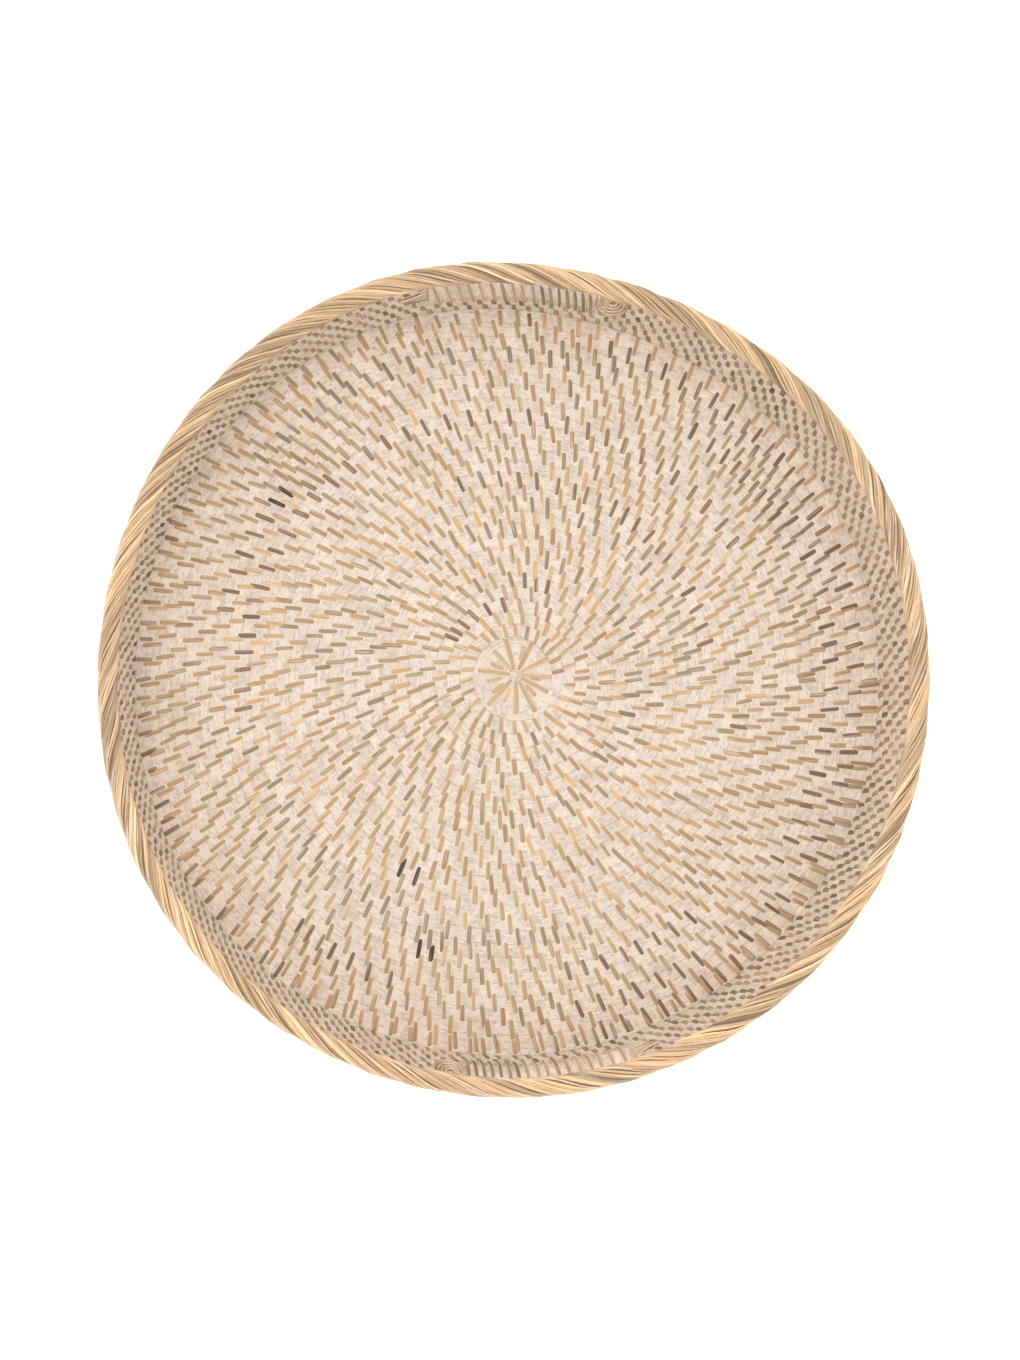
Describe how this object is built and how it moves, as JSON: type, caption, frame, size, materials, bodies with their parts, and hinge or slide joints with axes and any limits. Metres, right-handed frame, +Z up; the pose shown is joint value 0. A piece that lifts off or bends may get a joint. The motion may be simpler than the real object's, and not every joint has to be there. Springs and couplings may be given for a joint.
{
  "type": "winnowing basket",
  "caption": "Round, shallow coiled-cane basket with a flat floor, a low outward-leaning wall, a lashed rim and opposite hand-hold slots.",
  "frame": {"origin": "centre of the underside, on the plane that the basket rests on", "axes": "+Z up through the centre of the floor, +Y towards the slot called north, +X to the right when the basket is seen from above with +Y at the top"},
  "size_m": [0.5, 0.5, 0.065],
  "materials": {
    "whitewashed_cane": "matt, chalky whitewash over split cane",
    "natural_cane": "satin, bare split cane, honey coloured",
    "hoop_cane": "matt, unpainted round cane"
  },
  "bodies": {
    "root": {"floor_start": "whitewashed_cane", "floor_coil_01": "whitewashed_cane", "floor_coil_02": "whitewashed_cane", "floor_coil_03": "whitewashed_cane", "floor_coil_04": "whitewashed_cane", "floor_coil_05": "whitewashed_cane", "floor_coil_06": "whitewashed_cane", "floor_coil_07": "whitewashed_cane", "floor_coil_08": "whitewashed_cane", "floor_coil_09": "whitewashed_cane", "floor_coil_10": "whitewashed_cane", "floor_coil_11": "whitewashed_cane", "floor_coil_12": "whitewashed_cane", "floor_coil_13": "whitewashed_cane", "heel_coil": "whitewashed_cane", "wall_coil_01": "whitewashed_cane", "wall_coil_02": "whitewashed_cane", "wall_coil_03": "whitewashed_cane", "wall_coil_04_west": "whitewashed_cane", "wall_coil_04_east": "whitewashed_cane", "wall_coil_05_west": "whitewashed_cane", "wall_coil_05_east": "whitewashed_cane", "wall_coil_06_west": "whitewashed_cane", "wall_coil_06_east": "whitewashed_cane", "slot_north_lip": "natural_cane", "slot_south_lip": "natural_cane", "slot_north_end_left": "natural_cane", "slot_north_end_right": "natural_cane", "slot_south_end_left": "natural_cane", "slot_south_end_right": "natural_cane", "rim_lashing": "natural_cane", "rim_hoop": "hoop_cane"}
  },
  "joints": []
}
